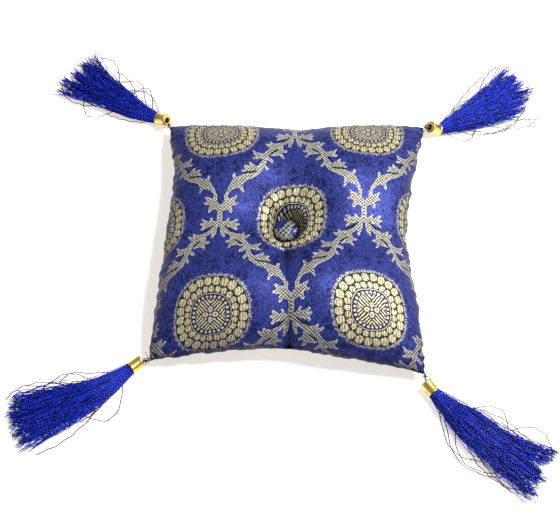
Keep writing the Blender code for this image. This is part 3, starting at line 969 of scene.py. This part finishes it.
def flower_layers(tree, weave, x, y):
    """The medallion's middle: slanting strips that meet in a cross, and a flower of four petals."""
    strips = ((x.size() - y.size()) * (2 * math.pi / STRIP_WEAVE)).math("COSINE")
    rows = (x.size() + y.size()).wave(ROW_WEAVE)
    herring = (strips * 0.8 + rows * 0.15 + (weave.fleck - 0.5) * 0.6).step(-0.05, 0.35)
    along, across = x.size().math("MAXIMUM", y.size()), x.size().math("MINIMUM", y.size())
    lengthwise = ((along - PETAL_MIDDLE) / PETAL_HALF_LENGTH).math("POWER", 2.0)
    petal = (lengthwise + (across / PETAL_HALF_WIDTH).math("POWER", 2.0)).math("SQRT")
    strip_colour = layered(tree, OUTLINE, (herring, BEAD_LIGHT))
    flower = (
        (petal.fall(1.0, 1.1), OUTLINE),
        (petal.fall(0.66, 0.78), PALE_LINE),
        (petal.fall(0.16, 0.30), OUTLINE),
    )
    return strip_colour, flower


def medallion_layers(tree, weave):
    """The medallion from its fringe to its middle, and the places of its disc and of its beads."""
    x, y = medallion_place(weave)
    turn = y.math("ARCTAN2", x)
    squarish = x.size().math("POWER", MEDALLION_SQUARENESS) + y.size().math("POWER", MEDALLION_SQUARENESS)
    radius = squarish.math("POWER", 1 / MEDALLION_SQUARENESS)
    ragged = (turn * FRINGE_LOOPS).math("SINE") * 0.4 + (weave.fleck - 0.5) * 0.8
    lace = (radius + ragged).fall(FRINGE_RADIUS, FRINGE_RADIUS + 0.6)
    loops = weave.fleck * 0.6 + weave.speck * 0.4 + (turn * (2 * FRINGE_LOOPS)).math("SINE") * 0.12
    disc = radius.fall(DISC_RADIUS, DISC_RADIUS + 0.3)
    threads = (weave.u * (2 * math.pi / BEAD_WEAVE) + weave.waver * 9.0).math("SINE")
    bead_tone = layered(tree, BEAD_BROWN, ((threads * 0.7 + weave.fleck * 1.2).step(0.1, 0.8), BEAD_LIGHT))
    all_beads = beads(radius, turn, *OUTER_BEADS).math("MAXIMUM", beads(radius, turn, *INNER_BEADS))
    dots = beads(radius, turn, *DOTS)
    strip_colour, flower = flower_layers(tree, weave, x, y)
    layers = (
        (lace, FRINGE_DARK),
        (lace * loops.step(0.40, 0.55), FRINGE_LIGHT),
        (disc, OUTLINE),
        (all_beads, bead_tone),
        (radius.inside(*PALE_RING, 0.15), PALE_LINE),
        (radius.fall(BAND_RADIUS, BAND_RADIUS + 0.3), BAND_DARK),
        (dots * (weave.speck * 0.4 + 0.7), DOT_PALE),
        (radius.fall(CORE_RADIUS, CORE_RADIUS + 0.3), strip_colour),
        *flower,
    )
    return layers, disc, all_beads


def brocade_material():
    material, tree, shader = new_material("brocade_cloth")
    weave = Weave(tree)
    leaf, hatch, leaf_colour = woven_leaf(tree, weave)
    medallion, disc, all_beads = medallion_layers(tree, weave)
    edge = attribute_field(tree, "edge")
    stitches = (edge + (weave.dash - 0.5) * 1.2 + weave.waver * 3.0).fall(*STITCH_WIDTH)
    colour = layered(
        tree,
        ground_colour(tree, weave),
        (leaf, leaf_colour),
        (attribute_field(tree, "vein").step(-0.55, -0.15), VEIN_COLOUR),
        *medallion,
        # Painted shade where the cloth turns over to the seam, dark stitches along the seam, and painted
        # shade in the creases and on the button.
        (edge.fall(0.0, SEAM_SHADE_REACH) * 0.42, GROUND_DARK),
        (stitches * 0.85, SPRIG_COLOUR),
        # painted shade in the creases and on the button
        (attribute_field(tree, "painted_shade") * 0.80, SPRIG_COLOUR),
    )
    tree.links.new(colour, shader.inputs["Base Color"])
    tree.links.new((leaf.math("MAXIMUM", disc) * 0.05 + 0.44).socket, shader.inputs["Roughness"])
    set_inputs(shader, {"Specular IOR Level": 0.15, "Metallic": 0.35})
    relief = weave.u.wave(SATIN_WEAVE) * 0.10 + leaf * (hatch * 0.5 + 0.7)
    add_bump(tree, shader, relief + disc * 0.4 + all_beads * 0.9 + weave.fleck * 0.45, CLOTH_RELIEF)
    return material


def thread_material():
    """Glossy twisted thread. Each thread has its own shade, stored with its turns, with painted shade in
    the furrows of its twist and painted glints.
    """
    material, tree, shader = new_material("viscose_thread")
    shade = attribute_field(tree, "shade")
    twist = (attribute_field(tree, "length") + shade * 0.01).wave(THREAD_TWIST)
    painted_glint = noise_field(tree, tree.nodes.new("ShaderNodeTexCoord").outputs["Object"], 620.0, 1.0)
    colour = layered(
        tree,
        THREAD_DARK,
        (shade, THREAD_BRIGHT),
        # painted shade in the furrows of the twist
        (twist.step(-0.4, 0.9) * 0.75, THREAD_FURROW_SHADE),
        # painted glints: whitish specks of reflected light
        (painted_glint.step(0.60, 0.70) * 0.55, THREAD_PAINTED_GLINT),
        (shade.math("LESS_THAN", STRAY_SHADE / 2), STRAY_COLOUR),
    )
    tree.links.new(colour, shader.inputs["Base Color"])
    set_inputs(shader, {"Specular IOR Level": 0.16, "Roughness": 0.34})
    add_bump(tree, shader, twist, THREAD_RELIEF)
    return material


def cap_material():
    """Bright plated metal, duller and browner where it is handled."""
    material, tree, shader = new_material("gold_plate")
    point = tree.nodes.new("ShaderNodeTexCoord").outputs["Object"]
    wear = noise_field(tree, point, 420.0, 4.0)
    tree.links.new(layered(tree, GOLD, (wear.step(0.42, 0.72), GOLD_WORN)), shader.inputs["Base Color"])
    set_inputs(shader, {"Metallic": 1.0})
    tree.links.new((wear * 0.30 + 0.14).socket, shader.inputs["Roughness"])
    add_bump(tree, shader, noise_field(tree, point, 900.0, 3.0), CAP_RELIEF)
    return material


def tie_material():
    material, tree, shader = new_material("sewing_thread")
    twist = attribute_field(tree, "length").wave(TIE_TWIST)
    tree.links.new(layered(tree, TIE_DARK, (twist * 0.5 + 0.5, TIE_PALE)), shader.inputs["Base Color"])
    set_inputs(shader, {"Roughness": 0.7})
    add_bump(tree, shader, twist, TIE_RELIEF)
    return material


# Threads


def tube_rings(path, radii, sides):
    """Rings of points round a path."""
    path = np.asarray(path, float)
    along = np.gradient(path, axis=0)
    along /= np.linalg.norm(along, axis=1)[:, None]
    up = np.array((0.13, 0.21, 0.97))
    across = np.cross(along, up)
    across /= np.linalg.norm(across, axis=1)[:, None]
    rise = np.cross(across, along)
    turns = np.arange(sides) * 2 * math.pi / sides
    ring = np.cos(turns)[None, :, None] * across[:, None, :]
    ring += np.sin(turns)[None, :, None] * rise[:, None, :]
    return path[:, None, :] + ring * np.asarray(radii)[:, None, None]


def make_threads(name, threads, sides):
    """One mesh of many closed tubes. A thread is (path, radii, shade)."""
    vertices, faces, shades, lengths = [], [], [], []
    start = 0
    for path, radii, shade in threads:
        rings = tube_rings(path, radii, sides)
        count = len(rings)
        vertices.append(rings.reshape(-1, 3))
        step = np.linalg.norm(np.diff(np.asarray(path), axis=0), axis=1)
        length = np.concatenate([[0.0], np.cumsum(step)])
        lengths.append(np.repeat(length, sides))
        shades.append(np.full(count * sides, shade))
        for ring in range(count - 1):
            faces += band(start + ring * sides, start + (ring + 1) * sides, sides)
        faces.append(tuple(start + i for i in reversed(range(sides))))
        faces.append(tuple(start + (count - 1) * sides + i for i in range(sides)))
        start += count * sides
    obj = new_object(name, np.concatenate(vertices).tolist(), faces)
    add_attribute(obj, "shade", np.concatenate(shades))
    add_attribute(obj, "length", np.concatenate(lengths))
    return obj


def cap_frame(tassel):
    """A frame at the cap's mouth. Its Z points outwards along the cap."""
    turn, tip = math.radians(tassel["heading"]), math.radians(tassel["tipped"])
    outwards = Vector((math.cos(turn) * math.cos(tip), math.sin(turn) * math.cos(tip), -math.sin(tip)))
    sideways = Vector((-math.sin(turn), math.cos(turn), 0.0))
    upwards = outwards.cross(sideways)
    matrix = Matrix((sideways, upwards, outwards)).transposed().to_4x4()
    matrix.translation = Vector((*tassel["mouth"], CAP_RADIUS * math.cos(tip)))
    return matrix


def bundle_sections(tassel, places):
    """The bundle's middles, sideways directions, half widths and half heights along it."""
    root = HEAD_RADIUS * THREAD_SPREAD
    rows = [(*tassel["mouth"], root, root), *tassel["line"]]
    held = np.minimum(places, 1.0)
    now = between(rows, held)
    ahead = between(rows, np.minimum(places + TANGENT_STEP, 1.0))
    behind = between(rows, np.maximum(held - TANGENT_STEP, 0.0))
    along = (ahead - behind)[:, :2]
    along /= np.linalg.norm(along, axis=1)[:, None]
    last = np.array(rows[-1][:2]) - np.array(rows[-2][:2])
    past = np.maximum(0.0, places - 1.0) * np.linalg.norm(last) * (len(rows) - 1)
    settled = np.minimum(1.0, places / LAID_BY)
    height = cap_frame(tassel).translation.z * (1 - settled) + now[:, 3] * settled
    middles = np.column_stack([now[:, :2] + along * past[:, None], height])
    sideways = np.column_stack([-along[:, 1], along[:, 0], np.zeros(len(places))])
    return middles, sideways, now[:, 2], now[:, 3]


def thread_end(tassel, across):
    """How far along the tassel's line its threads end, from side to side."""
    left, middle, right = tassel["ends"]
    side = left if across > 0 else right
    return middle + (side - middle) * abs(across)


def loose_strands(scatter):
    """For each strand how far it drifts aside, where it parts from the bundle and how much longer it is."""
    strands = []
    for _ in range(STRANDS):
        drift = scatter.uniform(-1, 1)
        parted_at = scatter.uniform(0.3, 0.9)
        strands.append((drift, parted_at, scatter.uniform(-0.05, 0.05)))
    return strands


def tassel_threads(tassel):
    """The tassel's threads: from a packed round head in the cap to a flat fan, each with its own waves."""
    scatter = random.Random(tassel["seed"])
    golden_turn = math.pi * (3 - math.sqrt(5))
    outwards = np.array(cap_frame(tassel).to_3x3().col[2])
    strands = loose_strands(scatter)
    threads = []
    for index in range(THREADS):
        radius = math.sqrt((index + 0.5) / THREADS)
        across = radius * math.cos(index * golden_turn)
        upward = radius * math.sin(index * golden_turn)
        drift, parted_at, longer = strands[int((across + 1) / 2 * STRANDS) % STRANDS]
        across *= 1 + STRAGGLE * scatter.random() ** 5
        length = LONGEST + longer - LENGTH_SCATTER * scatter.random() ** 1.4
        end = thread_end(tassel, across) * length
        places = np.linspace(0, end, THREAD_STEPS + 1)
        middles, sideways, half_width, half_height = bundle_sections(tassel, places)
        wave = drift * STRAND_DRIFT * np.maximum(0, places - parted_at) / (1 - parted_at)
        lift = np.zeros(len(places))
        for waves, amount in THREAD_WAVES:
            phase, other = scatter.uniform(0, 2 * math.pi), scatter.uniform(0, 2 * math.pi)
            wave += amount * scatter.uniform(0.3, 1.0) * np.sin(2 * math.pi * waves * places + phase)
            lift += amount * scatter.uniform(0.3, 1.0) * np.sin(2 * math.pi * waves * places + other)
        loose = np.clip(places / LOOSE_FROM, 0, 1) ** 1.4
        curled = np.maximum(0, (places / end - CURL_FROM) / (1 - CURL_FROM)) ** 2
        wave += CURL * scatter.uniform(-1, 1) * curled
        path = (
            middles
            + sideways * (across * half_width + wave * loose)[:, None]
            + np.outer(upward * half_height + lift * loose * 0.7, (0, 0, 1))
        )
        path[:, 2] = np.maximum(path[:, 2], THREAD_RADIUS * 1.1)
        inside = path[0] - outwards * (CAP_LENGTH * THREAD_HELD)
        path = np.vstack([inside, path])
        radii = np.full(len(path), THREAD_RADIUS)
        radii[-1] *= THREAD_TIP
        threads.append((path, radii, scatter.random()))
    return threads


def stray_threads(tassel):
    """Single thin threads that leave the bundle's sides, bow out and, some of them, come back across it."""
    scatter = random.Random(tassel["seed"] + 100)
    share = np.linspace(0, 1, STRAY_STEPS + 1)
    threads = []
    for index in range(STRAYS):
        side = 1 if index % 2 else -1
        span = scatter.uniform(*STRAY_SPANS)
        leaves_at = scatter.uniform(0.0, 1.0) * (LONGEST - span)
        middles, sideways, half_width, _ = bundle_sections(tassel, leaves_at + span * share)
        bow = scatter.uniform(0.3, 1.0) * STRAY_REACH * np.sin(scatter.uniform(*STRAY_BOWS) * share)
        phase = scatter.uniform(0, 2 * math.pi)
        kink = STRAY_KINK * np.sin(10 * math.pi * share + phase)
        path = middles + sideways * (side * (half_width * 0.7 + bow) + kink)[:, None]
        path[:, 2] = STRAY_HEIGHT * (1 + 0.45 * np.sin(2.4 * share + phase) - 0.5 * share)
        path[:, 2] = np.maximum(path[:, 2], STRAY_RADIUS * 1.2)
        threads.append((path, np.full(len(path), STRAY_RADIUS), STRAY_SHADE))
    return threads


def turned(name, profile, matrix, seed):
    """Turns a closed profile of (radius, height) round the matrix's Z axis, with small dents."""
    vertices, faces = [], []
    count = len(profile)
    for step in range(CAP_SIDES):
        turn = 2 * math.pi * step / CAP_SIDES
        for radius, height in profile:
            point = Vector((radius * math.cos(turn), radius * math.sin(turn), height))
            point.xy *= 1 + CAP_DENTS * noise.noise(point * DENTS_TO_METRE + Vector((seed, seed, 0)))
            vertices.append(matrix @ point)
    for step in range(CAP_SIDES):
        faces += band(step * count, (step + 1) % CAP_SIDES * count, count)
    return new_object(name, vertices, faces)


def rounded(points):
    """A closed outline with its corners rounded off."""
    made = []
    for i, corner in enumerate(points):
        corner = Vector(corner)
        before, after = Vector(points[i - 1]), Vector(points[(i + 1) % len(points)])
        cut = min(CAP_ROUNDING, (before - corner).length * 0.45, (after - corner).length * 0.45)
        start = corner + (before - corner).normalized() * cut
        end = corner + (after - corner).normalized() * cut
        for step in range(ROUNDING_STEPS + 1):
            share = step / ROUNDING_STEPS
            made.append(tuple(start.lerp(corner, share).lerp(corner.lerp(end, share), share)))
    return made


def make_cap(corner, tassel, material):
    """The metal cap: a drawn tube with a rolled mouth and a hole in its end."""
    waist = CAP_RADIUS - CAP_DRAWN_IN
    profile = rounded(
        (
            (CAP_BORE_RADIUS, 0.0),
            (CAP_RADIUS, 0.0),
            (CAP_RADIUS, -CAP_ROLL),
            (waist, -CAP_ROLL - CAP_STEPS[0]),
            (waist, -CAP_LENGTH + CAP_FOOT + CAP_STEPS[1]),
            (CAP_RADIUS, -CAP_LENGTH + CAP_FOOT),
            (CAP_RADIUS, -CAP_LENGTH),
            (CAP_HOLE_RADIUS, -CAP_LENGTH),
            (CAP_HOLE_RADIUS, -CAP_LENGTH + CAP_END_WALL),
            (CAP_BORE_RADIUS, -CAP_LENGTH + CAP_END_WALL),
        )
    )
    cap = turned(f"metal_cap_{corner}", profile, cap_frame(tassel), tassel["seed"])
    dress(cap, material, f"cap_{corner}")


def make_skirt(corner, tassel, material):
    every_thread = tassel_threads(tassel) + stray_threads(tassel)
    threads = make_threads(f"tassel_threads_{corner}", every_thread, THREAD_SIDES)
    dress(threads, material, f"skirt_{corner}")


def make_tie(corner, tassel, material):
    """A doubled thread from the corner through the cap's hole, its knot and the corner's frayed ends."""
    matrix = cap_frame(tassel)
    outwards = matrix.to_3x3().col[2]
    hole = matrix.translation - outwards * CAP_LENGTH
    tip = Vector((*CORNERS[corner], CORNER_HEIGHT))
    toward = (hole - tip).normalized()
    side = toward.cross(Vector((0, 0, 1))).normalized()
    up = side.cross(toward)
    knot = tip + toward * (KNOT_RADIUS + KNOT_OFF)
    end = hole + outwards * CAP_END_WALL * 0.8

    def beside(angle, distance):
        return (side * math.cos(angle) + up * math.sin(angle)) * distance

    threads = []
    for turn in (0.0, math.pi):
        path = []
        for step in range(TIE_STEPS + 1):
            share = step / TIE_STEPS
            path.append(tuple(knot.lerp(end, share) + beside(turn + share * TIE_TURN, TIE_RADIUS * 0.5)))
        threads.append((path, [TIE_RADIUS * 0.55] * len(path), TIE_SHADE))
    wound = []
    for step in range(KNOT_STEPS + 1):
        share = step / KNOT_STEPS
        along = toward * KNOT_RADIUS * (share * 1.6 - 0.8)
        bulge = KNOT_RADIUS * 0.62 * math.sin(math.pi * (0.15 + 0.7 * share))
        wound.append(tuple(knot + along + beside(share * 2 * math.pi * KNOT_TURNS, bulge)))
    threads.append((wound, [TIE_RADIUS * 0.7] * len(wound), TIE_SHADE))
    scatter = random.Random(tassel["seed"] + 200)
    for _ in range(FRAYS):
        start = tip + Vector((scatter.uniform(-1, 1), scatter.uniform(-1, 1), 0)) * FRAY_SPREAD
        lean = toward * scatter.uniform(-0.4, 1.0) + side * scatter.uniform(-1, 1)
        lean += up * scatter.uniform(-0.3, 0.5)
        reach = lean.normalized() * scatter.uniform(0.3, 1.0) * FRAY_LENGTH
        bend = (side * scatter.uniform(-1, 1) + up * scatter.uniform(-1, 1)) * FRAY_LENGTH * 0.3
        fray = []
        for step in range(FRAY_STEPS + 1):
            share = step / FRAY_STEPS
            fray.append(tuple(start + reach * share + bend * math.sin(math.pi * share)))
        threads.append((fray, [TIE_RADIUS * 0.40] * len(fray), 0.0))
    tie = make_threads(f"tie_thread_{corner}", threads, TIE_SIDES)
    dress(tie, material, f"tie_{corner}")


def button_middle():
    """The button lies on the highest place of the pit's wall under its rim."""
    around = np.linspace(0, 2 * math.pi, BUTTON_STEPS, endpoint=False)
    x, y = PIT_MIDDLE[0] + BUTTON_RADIUS * np.cos(around), PIT_MIDDLE[1] + BUTTON_RADIUS * np.sin(around)
    s, t = (x - PIT_MIDDLE[0]) / BACK_HALF, (y - PIT_MIDDLE[1]) / BACK_HALF
    wall = crown_height(s, t, x, y) - pit_depth(x, y)
    return Vector((*PIT_MIDDLE, wall.max() + BUTTON_CLEARANCE))


def make_button(material):
    """The covered button: a finely domed disc of the same cloth."""
    centre = button_middle()
    vertices, cloth, faces = [], [], []
    for ring in range(1, BUTTON_RINGS):
        angle = math.pi * ring / BUTTON_RINGS
        depth = BUTTON_DOME if angle < math.pi / 2 else BUTTON_BACK
        for side in range(BUTTON_SIDES):
            turn = 2 * math.pi * side / BUTTON_SIDES
            pleat = 1 + BUTTON_PLEAT_SHARE * math.cos(BUTTON_PLEATS * turn) * max(0.0, math.sin(angle)) ** 6
            radius = BUTTON_RADIUS * math.sin(angle) * pleat * BUTTON_SHRINK
            place = (radius * math.cos(turn), radius * math.sin(turn), depth * math.cos(angle))
            vertices.append(centre + Vector(place))
            reach = BUTTON_RADIUS * MM * angle / (math.pi / 2)
            cloth.append((reach * math.cos(turn), reach * math.sin(turn)))
    top, bottom = len(vertices), len(vertices) + 1
    vertices += [centre + Vector((0, 0, BUTTON_DOME)), centre - Vector((0, 0, BUTTON_BACK))]
    cloth += [(0.0, 0.0), (0.0, 0.0)]
    last = (BUTTON_RINGS - 2) * BUTTON_SIDES
    for side in range(BUTTON_SIDES):
        following = (side + 1) % BUTTON_SIDES
        faces.append((top, side, following))
        faces.append((bottom, last + following, last + side))
    for ring in range(0, last, BUTTON_SIDES):
        faces += band(ring + BUTTON_SIDES, ring, BUTTON_SIDES)
    button = new_object("covered_button", vertices, faces)
    cloth = np.array(cloth) + np.array(BUTTON_CLOTH)
    # the button's cover takes painted shade, as it lies in the pit
    set_cloth(button, cloth, np.full(len(cloth), BUTTON_RADIUS * MM), np.full(len(cloth), BUTTON_PAINTED_SHADE))
    dress(button, material, "button")


# Camera, floor and light


def put(name, data, place, target):
    """Adds a camera or a light at a place, aimed at a target."""
    obj = bpy.data.objects.new(name, data)
    obj.location = place
    obj.rotation_mode = "QUATERNION"
    obj.rotation_quaternion = (Vector(target) - Vector(place)).to_track_quat("-Z", "Y")
    bpy.context.scene.collection.objects.link(obj)
    return obj


def make_camera():
    elevation = math.radians(CAMERA_ELEVATION)
    back = Vector((0.0, -math.cos(elevation), math.sin(elevation)))
    data = bpy.data.cameras.new("camera")
    data.lens = CAMERA_LENS
    data.sensor_width = CAMERA_SENSOR
    place = Vector(CAMERA_TARGET) + back * CAMERA_DISTANCE
    bpy.context.scene.camera = put("camera", data, place, CAMERA_TARGET)


def make_floor():
    material, _, shader = new_material("floor_white")
    set_inputs(
        shader,
        {
            "Base Color": (*FLOOR_COLOUR, 1.0),
            "Roughness": 0.9,
            "Specular IOR Level": 0.0,
            "Emission Color": (*FLOOR_GLOW, 1.0),
            "Emission Strength": FLOOR_GLOW_STRENGTH,
        },
    )
    corners = [(x * FLOOR_HALF, y * FLOOR_HALF, 0) for x, y in ((-1, -1), (1, -1), (1, 1), (-1, 1))]
    data = bpy.data.meshes.new("floor")
    data.from_pydata(corners, [], [(0, 1, 2, 3)])
    data.materials.append(material)
    floor = bpy.data.objects.new("floor", data)
    floor.location.z = -FLOOR_DROP
    bpy.context.scene.collection.objects.link(floor)


def make_light():
    world = bpy.data.worlds.new("studio")
    world.use_nodes = True
    set_inputs(world.node_tree.nodes["Background"], {"Color": (*SKY_COLOUR, 1.0), "Strength": SKY_STRENGTH})
    bpy.context.scene.world = world
    data = bpy.data.lights.new("key", "AREA")
    data.size = KEY_SIZE
    data.energy = KEY_POWER
    data.color = KEY_COLOUR
    put("key", data, KEY_PLACE, (0.0, 0.0, 0.0))
    bpy.context.scene.view_settings.view_transform = "Standard"


make_camera()
make_floor()
make_light()
brocade = brocade_material()
thread = thread_material()
metal = cap_material()
sewing = tie_material()
cover = make_cover()
dress(cover, brocade, "cushion_body")
make_button(brocade)
for corner, tassel in TASSELS.items():
    make_cap(corner, tassel, metal)
    make_skirt(corner, tassel, thread)
    make_tie(corner, tassel, sewing)
